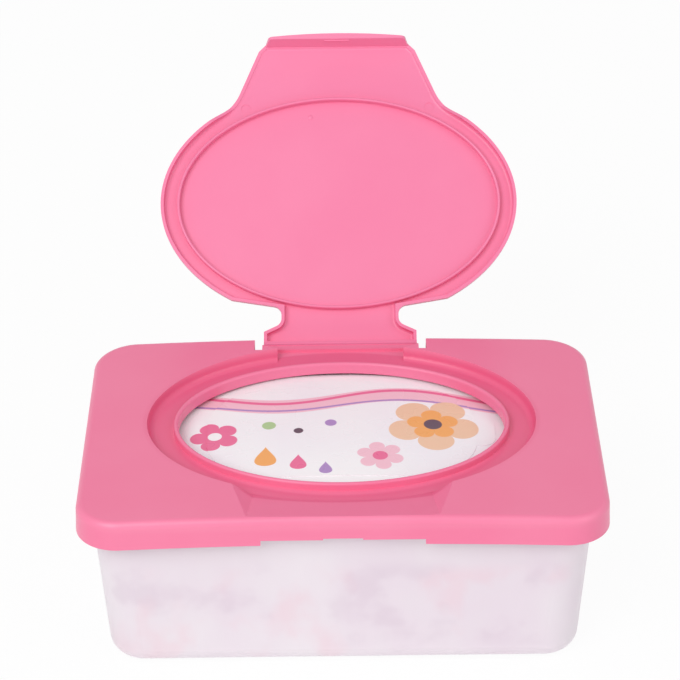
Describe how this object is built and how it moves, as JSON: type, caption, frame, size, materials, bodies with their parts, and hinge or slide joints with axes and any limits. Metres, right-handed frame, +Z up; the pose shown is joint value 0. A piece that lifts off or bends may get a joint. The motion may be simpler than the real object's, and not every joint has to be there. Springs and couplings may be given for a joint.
{
  "type": "baby wipes box",
  "caption": "Low rectangular wipes tub with a press-on lid, an oval flip lid on a living hinge over an oval dispensing opening, and a film refill pack of folded wipes inside.",
  "frame": {"origin": "centre of the flat base of the tub", "axes": "+X along the box's length to the right, -Y towards the front where the lip is, +Z up"},
  "size_m": [0.19, 0.2159, 0.1584],
  "materials": {
    "tub_plastic": "translucent milky polypropylene",
    "lid_plastic": "satin moulded polypropylene",
    "pouch_film": "printed laminate film",
    "label_film": "printed peel label",
    "wipe_cloth": "damp nonwoven"
  },
  "bodies": {
    "tub_body": {"tub": "tub_plastic"},
    "lid_body": {"lid_cover": "lid_plastic", "living_hinge": "lid_plastic"},
    "flip_body": {"flip_lid": "lid_plastic"},
    "pack_body": {"refill_pouch": "pouch_film", "peel_label": "label_film", "folded_wipes": "wipe_cloth"}
  },
  "joints": [
    {"name": "lid_lift", "type": "slide", "parent": "tub_body", "child": "lid_body", "axis": [0, 0, 1], "range_m": [0, 0.08]},
    {"name": "flip_hinge", "type": "hinge", "parent": "lid_body", "child": "flip_body", "pos_m": [0, 0.0625, 0.0669], "axis": [-1, 0, 0], "range_deg": [-135, 40], "deforming": ["living_hinge"]},
    {"name": "pack_lift", "type": "slide", "parent": "tub_body", "child": "pack_body", "axis": [0, 0, 1], "range_m": [0, 0.04]}
  ],
  "couplings": [
    {"joint": "pack_lift", "follows": "lid_lift", "ratio": 0.5}
  ]
}
